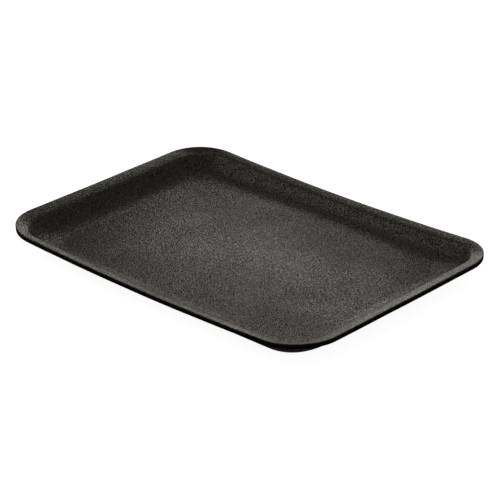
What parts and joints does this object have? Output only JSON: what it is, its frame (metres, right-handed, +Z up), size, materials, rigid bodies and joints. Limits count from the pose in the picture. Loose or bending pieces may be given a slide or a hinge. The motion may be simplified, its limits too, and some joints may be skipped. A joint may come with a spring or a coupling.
{
  "type": "foam meat tray",
  "caption": "Shallow rectangular foam tray with rounded corners, sloping walls and a broad rounded rim.",
  "frame": {"origin": "middle of the flat underside, on the surface the tray stands on", "axes": "+X along the long sides, +Y along the short sides, +Z up out of the open top"},
  "size_m": [0.2096, 0.146, 0.0139],
  "materials": {
    "foam_skin": "satin black expanded foam with a fine grained skin"
  },
  "bodies": {
    "root": {"foam_tray": "foam_skin"}
  },
  "joints": []
}
